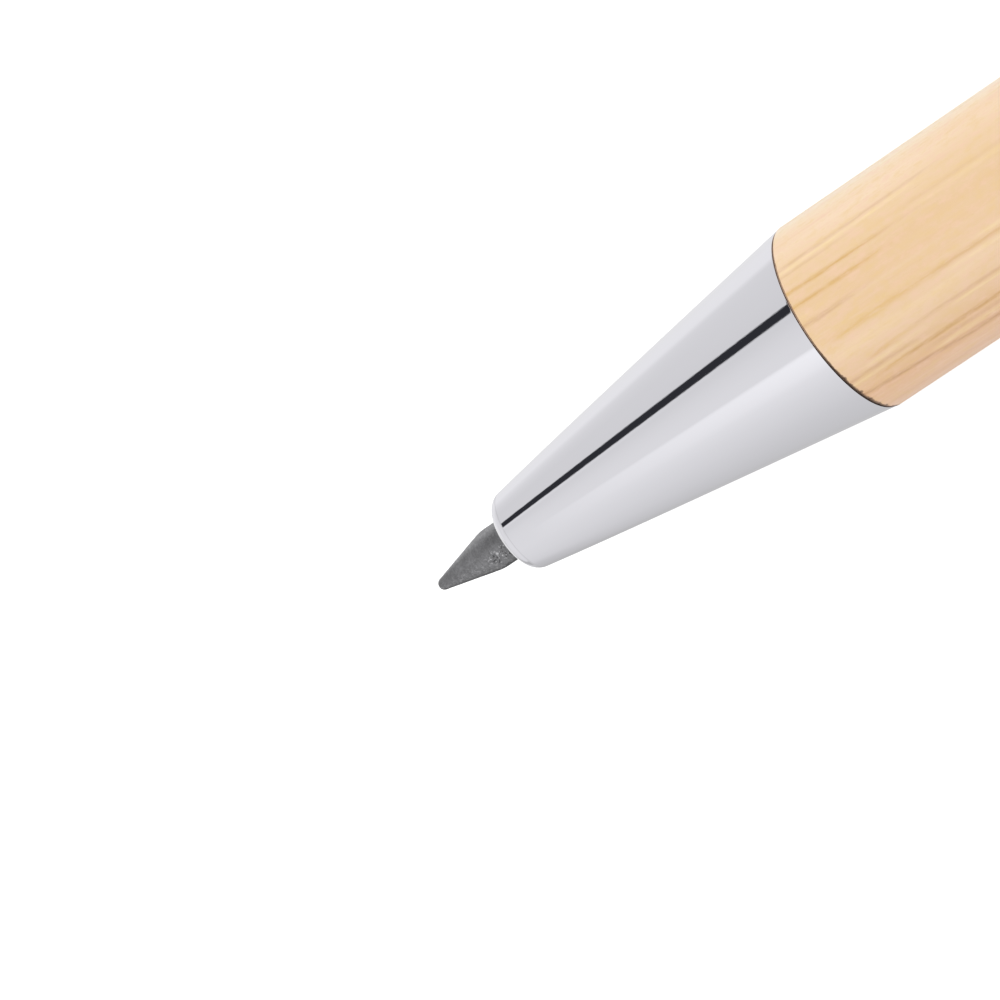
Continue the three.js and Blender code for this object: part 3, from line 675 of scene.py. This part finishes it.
def nose():
    first, last = place_of("nose_cone")
    fillet = NOSE_END_FILLET
    lean = math.degrees(math.atan2(NOSE_BASE_RADIUS - NOSE_END_RADIUS, NOSE_LENGTH))
    rim = arc(fillet, NOSE_END_RADIUS - fillet, fillet, 180, 90 + lean, 22)
    start, end = rim[-1], (NOSE_LENGTH - NOSE_BASE_ROUND, NOSE_BASE_RADIUS)
    belly = [a + (b - a) * NOSE_BULGE_PLACE for a, b in zip(start, end)]
    belly[1] += 2 * NOSE_BULGE
    flank = bent(start, belly, end, 72)
    flank = flank[:-1] + spread(flank[-2], flank[-1], 12)
    base = arc(end[0], end[1] - NOSE_BASE_ROUND, NOSE_BASE_ROUND, 90, 0, 8)
    neck = SPIGOT_RADIUS - SPIGOT_RELIEF
    thread_from, thread_to = SPIGOT_X + SPIGOT_NECK, last - SPIGOT_RELIEF
    profile = [(MOUTH_LEAD, MOUTH_RADIUS), (MOUTH_LEAD_ROUND, MOUTH_RADIUS + MOUTH_LEAD_ROUND),
               (0.0, MOUTH_RADIUS + MOUTH_LEAD)]
    profile += rim + flank + base[1:]
    profile += [(NOSE_LENGTH, neck + SPIGOT_FILLET), (NOSE_LENGTH + SPIGOT_FILLET, neck),
                (thread_from, neck)]
    for x, r, steps in ((thread_from + SPIGOT_RELIEF, SPIGOT_RADIUS, 4),
                        (thread_to, SPIGOT_RADIUS, 150), (last, neck, 4)):
        profile += spread(profile[-1], (x, r), steps)
    profile += [(last, CHAMBER_RADIUS + CHAMBER_CHAMFER),
                (last - CHAMBER_CHAMFER, CHAMBER_RADIUS),
                (CHAMBER_X, CHAMBER_RADIUS), (MOUTH_BORE_LENGTH, MOUTH_RADIUS)]

    def relief(x, r, angle):
        """The thread on the spigot."""
        if thread_from < x < last - 0.01 and r > neck:
            phase = 2 * math.pi * x / THREAD_PITCH - angle
            wave = max(0.0, min(1.0, 0.5 - 0.75 * math.cos(phase)))
            return max(r - THREAD_DEPTH * wave, neck)
        return r

    piece = lathe("nose", profile, CHROME_NOSE, 224, relief, 30)
    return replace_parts(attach(piece, "nose"), "nose_cone")


SEAM_EDGE = 0.04
SEAM_CLEARANCE = 0.05


def seam_ring():
    first, last = place_of("seam_washer")
    low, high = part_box("seam_washer")
    outer = (high.y - low.y) / 2 / MM / INSIDE
    inner, edge = SPIGOT_RADIUS + SEAM_CLEARANCE, SEAM_EDGE
    profile = [(first, inner), (first, outer - edge), (first + edge, outer),
               (last - edge, outer), (last, outer - edge), (last, inner)]
    piece = lathe("seam_line", profile, SEAM, 192)
    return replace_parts(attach(piece, "washer"), "seam_washer")


BARREL_RADIUS = 5.5
BARREL_BORE = 3.98
BARREL_EDGE = 0.05
BARREL_BORE_CHAMFER = 0.1
BARREL_FRONT_ZONE = 0.35   # length with close rings, for the chips
GRAIN_DEPTH, GRAIN_SWING = 0.006, 0.004
FRAY_DEPTH, FRAY_LENGTH = 0.12, 0.25
CHIP_DEPTH, CHIP_CUT_HALF_ANGLE = 0.10, 1.4


def barrel(name, node, body, finish):
    first, last = place_of(node)
    edge, r, chamfer = BARREL_EDGE, BARREL_RADIUS - BARREL_EDGE, BARREL_BORE_CHAMFER
    front = arc(first + edge, r, edge, 180, 90, 8)
    rear = arc(last - edge, r, edge, 90, 0, 8)
    profile = front + spread(front[-1], (first + BARREL_FRONT_ZONE, BARREL_RADIUS), 6)
    profile += spread(profile[-1], rear[0], 90)[:-1] + rear
    profile += spread(rear[-1], (last, BARREL_BORE + chamfer), 5)
    profile += [(last - chamfer, BARREL_BORE), (first + chamfer, BARREL_BORE),
                (first, BARREL_BORE + chamfer)]
    profile += spread(profile[-1], front[0], 5)[:-1]

    def relief(x, r, angle):
        """Grain all over, small frays at both ends, and the chips of the front edge."""
        if r < BARREL_BORE + 2 * chamfer:
            return r
        y, z = math.cos(angle), math.sin(angle)
        grain = noise.noise(Vector((x * 0.12, y * 22, z * 22)))
        fray = max(0.0, noise.noise(Vector((y * 30, z * 30, first))) - 0.25)
        lost = FRAY_DEPTH * fray * max(0.0, 1 - min(x - first, last - x) / FRAY_LENGTH)
        if body == "lower_body":
            turn = math.degrees(math.atan2(y, z))
            for place, size in CHIPS:
                chip = max(0.0, 1 - abs(turn - place) / CHIP_CUT_HALF_ANGLE)
                lost = max(lost, CHIP_DEPTH * chip * max(0.0, 1 - (x - first) / size))
        return r - max(0.0, GRAIN_DEPTH + GRAIN_SWING * grain) - lost

    piece = lathe(name, profile, finish, 320, relief, 40)
    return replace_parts(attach(piece, body), node)


BAND_BEVEL = 0.35
BAND_GROOVE_RADIUS = 0.30
BAND_GROOVE_RISE = 0.12    # of the groove's centre above the surface
BAND_GROOVE_FROM = 23.8    # angle below the horizontal at which the groove's arc starts


def centre_band():
    first, last = place_of("centre_ring")
    middle, r = (first + last) / 2, BARREL_RADIUS
    bevel, groove = BAND_BEVEL, BAND_GROOVE_RADIUS
    profile = [(first, BARREL_BORE)]
    profile += [(first, r - bevel)] + arc(first + bevel, r - bevel, bevel, 180, 90, 8)[1:]
    profile += spread(profile[-1], (middle - groove, r), 3)
    profile += arc(middle, r + BAND_GROOVE_RISE, groove,
                   180 + BAND_GROOVE_FROM, 360 - BAND_GROOVE_FROM, 12)
    profile += spread((middle + groove, r), (last - bevel, r), 3)
    profile += arc(last - bevel, r - bevel, bevel, 90, 0, 8)[1:] + [(last, BARREL_BORE)]
    piece = lathe("centre_band", profile, CHROME, 224, None, 30)
    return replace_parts(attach(piece, "upper_body"), "centre_ring")


CAP_TAPER = 0.55
CAP_CORNER = 1.6
CAP_BEVEL = 0.25
CAP_GAP = 0.05             # between the clip's ring and the button
CAP_STUD_RADIUS = 1.5
CAP_STUD_CHAMFER = 0.25
CAP_GROOVE = 0.75
# Half of the section of the groove in the flat end: depth, and distance from its middle
CAP_GROOVE_SECTION = [(0.0, 0.3), (0.10, 0.16), (0.18, 0.05)]
NOTCH_HALF_WIDTH = 2.25
NOTCH_DEPTH = 0.8
NOTCH_FLOOR = 4.5


def end_button():
    low, last = place_of("end_cap")
    first = place_of("clip_ring")[1] + CAP_GAP
    shoulder = BARREL_RADIUS - CAP_TAPER - CAP_CORNER
    flat = shoulder - CAP_GROOVE
    bevel, stud, chamfer = CAP_BEVEL, CAP_STUD_RADIUS, CAP_STUD_CHAMFER
    profile = [(low, 0.0), (low, stud - chamfer), (low + chamfer, stud), (first, stud)]
    profile += [(first, BARREL_RADIUS - bevel)]
    profile += arc(first + bevel, BARREL_RADIUS - bevel, bevel, 180, 90, 8)[1:]
    corner = arc(last - CAP_CORNER, shoulder, CAP_CORNER, 90, 0, 24)
    profile += spread(profile[-1], corner[0], 24) + corner[1:]
    groove = flat + CAP_GROOVE / 2
    profile += spread(corner[-1], (last, groove + CAP_GROOVE_SECTION[0][1]), 2)
    profile += [(last - deep, groove + away) for deep, away in CAP_GROOVE_SECTION[1:]]
    profile += [(last - deep, groove - away) for deep, away in reversed(CAP_GROOVE_SECTION)]
    profile += [(last, flat), (last, 0.0)]
    piece = lathe("end_button", profile, CHROME, 224, None, 30)
    half, deep = NOTCH_HALF_WIDTH, NOTCH_DEPTH
    corners = [(x, y, z) for x in (first - deep, first + deep) for y in (-half, half)
               for z in (NOTCH_FLOOR, 2 * BARREL_RADIUS)]
    faces = [(0, 1, 3, 2), (4, 6, 7, 5), (0, 4, 5, 1), (2, 3, 7, 6), (0, 2, 6, 4), (1, 5, 7, 3)]
    combine(piece, mesh_object("notch_cutter", corners, faces, CHROME), "DIFFERENCE", 30)
    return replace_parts(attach(piece, "upper_body"), "end_cap")


CLIP_THICKNESS = 0.6
CLIP_ROOT_WIDTH = 4.2
CLIP_FRONT_WIDTH = 3.0
CLIP_LENGTH = 40.0
CLIP_STAND_OFF = 1.5
CLIP_FALL = 0.7
CLIP_BEND = 0.8
CLIP_PAD = 7.0
CLIP_TAIL = 2.6
CLIP_TAIL_LIFT = 0.9
CLIP_PAD_DIP = 0.05
CLIP_PAD_GAP = 0.05
CLIP_RING_RADIUS = 4.8
CLIP_RING_BORE = 1.55
CLIP_RING_BEVEL = 0.08
CLIP_ROOT_SINK = 0.35      # how far the arm's root reaches into the ring
CLIP_SHRINK = 0.985        # keeps the arm just inside the solid
CLIP_EDGE = 0.12
CLIP_TAIL_HALF_WIDTH = 0.05
CLIP_CROWN = 24.0          # radius of the slight crown across the outer side


def catmull(points, steps):
    """Points of a smooth curve through the given ones."""
    padded = [points[0]] + points + [points[-1]]
    out = []
    for i in range(len(points) - 1):
        p0, p1, p2, p3 = (np.array(p, float) for p in padded[i:i + 4])
        for k in range(steps):
            t = k / steps
            out.append(tuple(0.5 * (2 * p1 + (p2 - p0) * t
                                    + (2 * p0 - 5 * p1 + 4 * p2 - p3) * t * t
                                    + (3 * p1 - p0 - 3 * p2 + p3) * t ** 3)))
    return out + [tuple(points[-1])]


def clip_line():
    """Middle line of the clip's strip as (x, z), from its root to its tail."""
    half = CLIP_THICKNESS / 2
    root_x = place_of("clip_ring")[0] + half
    run_z = BARREL_RADIUS + CLIP_STAND_OFF + half
    line = [(root_x, z) for z in
            np.linspace(CLIP_RING_RADIUS - CLIP_ROOT_SINK, run_z - CLIP_BEND, 9)]
    line += arc(root_x - CLIP_BEND, run_z - CLIP_BEND, CLIP_BEND, 0, 90, 14)[1:]
    pad_x, pad_z = root_x - CLIP_LENGTH, BARREL_RADIUS + CLIP_PAD_GAP + half
    fall_z, third = run_z - CLIP_FALL, CLIP_PAD / 3
    front = catmull([
        (pad_x + CLIP_PAD, fall_z), (pad_x + 2 * third, fall_z - CLIP_PAD_DIP),
        (pad_x + third, (fall_z + 2 * pad_z) / 3), (pad_x, pad_z),
        (pad_x - CLIP_TAIL / 2, pad_z + CLIP_TAIL_LIFT / 4),
        (pad_x - CLIP_TAIL, pad_z + CLIP_TAIL_LIFT)], 10)
    return line + spread(line[-1], front[0], 60) + front[1:]


def clip_section(half):
    """Section of the strip as (y, h), with h towards the barrel: rounded edges, flat on the
    barrel's side and slightly crowned on the other."""
    t, edge = CLIP_THICKNESS / 2 * CLIP_SHRINK, min(CLIP_EDGE, half * 0.5)
    section = []
    for side, face, start in ((1, 1, 0), (-1, 1, 90), (-1, -1, 180), (1, -1, 270)):
        for k in range(4):
            a = math.radians(start + 90 * k / 3)
            section.append((side * (half - edge) + edge * math.cos(a),
                            face * (t - CLIP_EDGE) + CLIP_EDGE * math.sin(a)))
        if start in (0, 180):
            for k in range(1, 8):
                section.append((side * (half - edge) * (1 - k / 4), face * t))
    return [(y, h + y * y / (2 * CLIP_CROWN) if h < 0 else h) for y, h in section]


def pocket_clip():
    """One pressing: the arm and the ring between barrel and button."""
    line = clip_line()
    root_x, front_x = line[0][0], line[-1][0]
    end = CLIP_FRONT_WIDTH / 2
    points, faces, rows = [], [], []
    for i, (x, z) in enumerate(line):
        ax, az = line[max(i - 1, 0)]
        bx, bz = line[min(i + 1, len(line) - 1)]
        length = math.hypot(bx - ax, bz - az)
        nx, nz = (az - bz) / length, (bx - ax) / length
        share = min(1.0, max(0.0, (root_x - x) / (root_x - front_x - end)))
        half = (CLIP_ROOT_WIDTH + (CLIP_FRONT_WIDTH - CLIP_ROOT_WIDTH) * share) / 2
        past = front_x + end - x
        if past > 0:
            half = math.sqrt(max(end * end - past * past, CLIP_TAIL_HALF_WIDTH ** 2))
        section = clip_section(half)
        rows.append(range(len(points), len(points) + len(section)))
        points += [(x + nx * h, y, z + nz * h) for y, h in section]
    count = len(rows[0])
    for a, b in zip(rows, rows[1:]):
        for k in range(count):
            n = (k + 1) % count
            faces.append((a[k], a[n], b[n], b[k]))
    faces += [tuple(rows[0]), tuple(reversed(rows[-1]))]
    arm = mesh_object("pocket_clip", points, faces, SPRING, 40)
    first, last = place_of("clip_ring")
    r, bore, bevel = CLIP_RING_RADIUS, CLIP_RING_BORE, CLIP_RING_BEVEL
    profile = [(first, bore), (first, r - bevel), (first + bevel, r), (last - bevel, r),
               (last, r - bevel), (last, bore)]
    combine(arm, lathe("clip_ring_fine", profile, SPRING, 160), "UNION", 40)

    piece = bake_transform(arm)
    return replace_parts(piece, "clip_ring", "clip_arm")


writing_tip()
nose()
seam_ring()
barrel("bamboo_front", "lower_barrel", "lower_body", BAMBOO_FRONT)
barrel("bamboo_rear", "upper_barrel", "upper_body", BAMBOO_REAR)
centre_band()
end_button()
pocket_clip()

NODE_FINISH = {
    "tip_ferrule": BRASS, "front_bush": BRASS, "lower_tube": BRASS, "guide_sleeve": BRASS,
    "upper_tube": BRASS, "rear_bush": BRASS, "cartridge_tube": STEEL, "cross_pin": STEEL,
    "cartridge_plug": PLASTIC, "slider": PLASTIC, "cam_sleeve": PLASTIC,
    "friction_ring": RUBBER,
}
for node_name, finish in NODE_FINISH.items():
    for slot in frame["nodes"][node_name].material_slots:
        slot.material = finish

# ---------------------------------------------------------------- camera

PICTURE_SIDE = 1000
SENSOR = 36.0
PIXELS_PER_MM = 18.93      # at the mouth
MOUTH_DISTANCE = 310.0     # along the camera's axis
MOUTH_PIXEL = (513.85, 535.40)
AXIS_RISE = math.radians(34.105)
AXIS_TILT = math.radians(24.03)
CLIP_NEAR, CLIP_FAR = 0.01, 20.0    # in metres


def camera():
    """The pencil's axis rises to the right by AXIS_RISE in the picture and comes towards the
    camera by AXIS_TILT. The camera looks down on the pencil, square to its Y axis."""
    data = bpy.data.cameras.new("camera")
    data.sensor_width = SENSOR
    data.lens = PIXELS_PER_MM * MOUTH_DISTANCE * SENSOR / PICTURE_SIDE
    data.clip_start, data.clip_end = CLIP_NEAR, CLIP_FAR
    made = bpy.data.objects.new("camera", data)
    bpy.context.scene.collection.objects.link(made)
    # The frame's axes in the picture's: right, down, away
    rise, tilt = AXIS_RISE, AXIS_TILT
    x_axis = Vector((math.cos(tilt) * math.cos(rise), -math.cos(tilt) * math.sin(rise),
                     -math.sin(tilt)))
    z_axis = -(Vector((0, 0, 1)) + math.sin(tilt) * x_axis) / math.cos(tilt)
    y_axis = z_axis.cross(x_axis)
    right, down, away = (Vector((x_axis[i], y_axis[i], z_axis[i])) for i in range(3))
    middle = PICTURE_SIDE / 2
    off_x, off_y = ((pixel - middle) / PIXELS_PER_MM for pixel in MOUTH_PIXEL)
    mouth = Vector((MOUTH_X, 0.0, AXIS_Z))
    place = (mouth - off_x * right - off_y * down - MOUTH_DISTANCE * away) * MM
    turn = Matrix((right, -down, -away)).transposed().to_4x4()
    made.matrix_world = Matrix.Translation(place) @ turn
    bpy.context.scene.camera = made


camera()

# ---------------------------------------------------------------- studio

def level(grey, cast=(1.0, 1.0, 1.0)):
    return tuple(grey * c for c in cast) + (1,)


# The light tent as bright metal sees it, by the reflected direction: its angle about the
# pencil's axis, and the brightness there. The first holds for the front of the nose, the
# second for its rear.
TENT_FRONT = [
    (-180, 0.62), (-165, 0.59), (-154, 0.57), (-138, 0.66), (-121, 0.73), (-105, 0.81),
    (-80, 0.87), (-45, 0.91), (-6, 0.90), (10, 0.88), (24, 0.84), (30, 0.83), (33, 0.90),
    (36, 0.88), (50, 0.82), (80, 0.81), (96, 0.85), (110, 0.92), (121, 1.0), (140, 0.97),
    (160, 0.90), (180, 0.82),
]
TENT_REAR = [
    (-180, 0.66), (-165, 0.65), (-150, 0.66), (-128, 0.70), (-103, 0.74), (-87, 0.79),
    (-61, 0.88), (-44, 0.96), (-35, 1.05), (-26, 1.10), (-17, 1.13), (-14.5, 1.10),
    (-11.5, 0.91), (0, 0.90), (17, 0.86), (30, 0.81), (50, 0.80), (69, 0.82), (86, 0.83),
    (107, 0.84), (112, 0.92), (116, 1.0), (135, 0.98), (160, 0.90), (180, 0.84),
]
TENT_END = -0.67           # x part of the reflected direction at the mouth, on top
TENT_SPAN = 0.075          # and how much it changes up to the seam
TENT_CURVE = 0.13          # and at TENT_CURVE_ANGLE to either side
TENT_CURVE_ANGLE = 120.0
# The dark strip: its middle and half width in degrees at the mouth, and the change to the seam
STRIP_MIDDLE, STRIP_HALF = (43.7, -2.3), (6.6, -1.0)
STRIP_EDGE = 1.3
STRIP_LEVEL = 0.034
STRIP_CAST = (0.95, 0.97, 1.15)
# Below, a rise is that x part less what it is at the mouth's end of the flank. It is under 0
# on the rounding of the mouth.
FLANK_RISE = (-0.030, -0.018)
EDGE_RISE, EDGE_SHARE = (-0.10, -0.03), 0.26
UNDER_RISE, UNDER_SHARE, UNDER_ANGLE = (0.014, -0.012), 0.16, (-95.0, -125.0)
SHADE_LEVEL = 0.35         # of the edge and of the shade under the mouth
BAND_RISE, BAND_SHARE, BAND_LEVEL = (-0.10, -0.20), 0.55, 0.95
PATCH_MIDDLE = (-98.0, 150.0)       # angle, and its change with the rise
PATCH_ANGLE_OFF = (22.0, 8.0)
PATCH_RISE, PATCH_RISE_END = (-0.05, -0.14), (-0.45, -0.38)
PATCH_SHARE, PATCH_LEVEL = 0.95, 0.53
FILL_STRENGTH = 0.90       # of the world as all but bright metal sees it


def world():
    """The studio's light: one level for matt surfaces, the tent for reflections, and white
    for the camera."""
    made = bpy.data.worlds.new("studio")
    bpy.context.scene.world = made
    made.use_nodes = True
    made.cycles.sampling_method = "NONE"
    g = Graph(made.node_tree)
    way = g.add("ShaderNodeTexCoord").outputs["Generated"]
    x, y, z = g.parts(way)
    turn = g.turn(y, z)
    bend = g.math("POWER", g.math("ABSOLUTE", g.math("DIVIDE", turn, TENT_CURVE_ANGLE)), 2.0)
    end = g.math("MULTIPLY_ADD", bend, TENT_CURVE, TENT_END)
    rise = g.math("SUBTRACT", x, end)
    along = g.math("DIVIDE", rise, TENT_SPAN, clamp=True)
    front, rear = g.round_ramp(turn, TENT_FRONT), g.round_ramp(turn, TENT_REAR)
    middle = g.math("MULTIPLY_ADD", along, STRIP_MIDDLE[1], STRIP_MIDDLE[0])
    half = g.math("MULTIPLY_ADD", along, STRIP_HALF[1], STRIP_HALF[0])
    off = g.math("SUBTRACT", g.math("ABSOLUTE", g.math("SUBTRACT", turn, middle)), half)
    strip = g.mapped(off, STRIP_EDGE, -STRIP_EDGE, smooth=True)
    flank = g.mapped(rise, *FLANK_RISE, smooth=True)
    strip = g.math("MULTIPLY", strip, flank)
    light = g.mix(strip, g.mix(along, front, rear), level(STRIP_LEVEL, STRIP_CAST))
    # What the rounding of the mouth sees: a darker edge, then a paler band
    edge = g.mapped(rise, *EDGE_RISE, smooth=True)
    edge = g.math("MULTIPLY", edge, g.math("SUBTRACT", 1.0, flank))
    light = g.mix(g.math("MULTIPLY", edge, EDGE_SHARE), light, level(SHADE_LEVEL))
    under = g.math("MULTIPLY", g.mapped(rise, *UNDER_RISE, 0.0, UNDER_SHARE, smooth=True),
                   g.mapped(turn, *UNDER_ANGLE, smooth=True))
    light = g.mix(g.math("MULTIPLY", under, flank), light, level(SHADE_LEVEL))
    band = g.mapped(rise, *BAND_RISE, 0.0, BAND_SHARE, smooth=True)
    light = g.mix(band, light, level(BAND_LEVEL))
    # A greyer patch low on one side, which draws a thin line in the rounding
    off = g.math("MULTIPLY_ADD", rise, PATCH_MIDDLE[1], PATCH_MIDDLE[0])
    off = g.math("ABSOLUTE", g.math("SUBTRACT", turn, off))
    patch = g.math("MULTIPLY", g.mapped(off, *PATCH_ANGLE_OFF, smooth=True),
                   g.mapped(rise, *PATCH_RISE, 0.0, PATCH_SHARE, smooth=True))
    patch = g.math("MULTIPLY", patch, g.mapped(rise, *PATCH_RISE_END, smooth=True))
    light = g.mix(patch, light, level(PATCH_LEVEL))
    tent = g.add("ShaderNodeBackground", Color=light, Strength=1.0)
    fill = g.add("ShaderNodeBackground", Color=level(1.0), Strength=FILL_STRENGTH)
    white = g.add("ShaderNodeBackground", Color=level(1.0), Strength=1.0)
    ray = g.add("ShaderNodeLightPath").outputs
    seen = g.either(ray["Is Glossy Ray"], fill, tent)
    clear = g.math("MAXIMUM", ray["Is Camera Ray"], ray["Is Transmission Ray"])
    last = g.either(clear, seen, white)
    g.put(g.add("ShaderNodeOutputWorld").inputs["Surface"], last.outputs[0])


FLOOR_GREY = 0.8
FLOOR_GLOW = 0.55          # makes the floor white for the camera, and keeps its shadow
FLOOR_SIDE, FLOOR_Z = 4.0, -0.00003     # in metres


def floor():
    """A plain pale floor. Metal sees the tent through it."""
    made = bpy.data.materials.new("studio_floor")
    made.use_nodes = True
    g = Graph(made.node_tree)
    matt = g.add("ShaderNodeBsdfDiffuse", Color=level(FLOOR_GREY))
    glow = g.add("ShaderNodeEmission", Color=level(1.0), Strength=FLOOR_GLOW)
    both = g.add("ShaderNodeAddShader", i0=matt.outputs[0], i1=glow.outputs[0])
    ray = g.add("ShaderNodeLightPath").outputs
    seen = g.either(ray["Is Camera Ray"], matt, both)
    last = g.either(ray["Is Glossy Ray"], seen, g.add("ShaderNodeBsdfTransparent"))
    g.put(g.add("ShaderNodeOutputMaterial").inputs["Surface"], last.outputs[0])
    side, z = FLOOR_SIDE, FLOOR_Z
    mesh = bpy.data.meshes.new("floor")
    mesh.from_pydata([(-side, -side, z), (side, -side, z), (side, side, z), (-side, side, z)],
                     [], [(0, 1, 2, 3)])
    mesh.materials.append(made)
    piece = bpy.data.objects.new("floor", mesh)
    bpy.context.scene.collection.objects.link(piece)


def soft_lamp(name, place, size, power):
    """A round lamp, turned towards the origin. The tent stands for it in reflections."""
    data = bpy.data.lights.new(name, "AREA")
    data.shape, data.size, data.energy = "DISK", size, power
    lamp = bpy.data.objects.new(name, data)
    lamp.location = place
    lamp.rotation_mode = "QUATERNION"
    lamp.rotation_quaternion = (-Vector(place)).to_track_quat("-Z", "Y")
    lamp.visible_glossy = False
    lamp.visible_camera = False
    bpy.context.scene.collection.objects.link(lamp)


world()
floor()
soft_lamp("key", place=(0.1, 0.75, 0.75), size=0.9, power=1.9)

bpy.context.scene.view_settings.view_transform = "Standard"
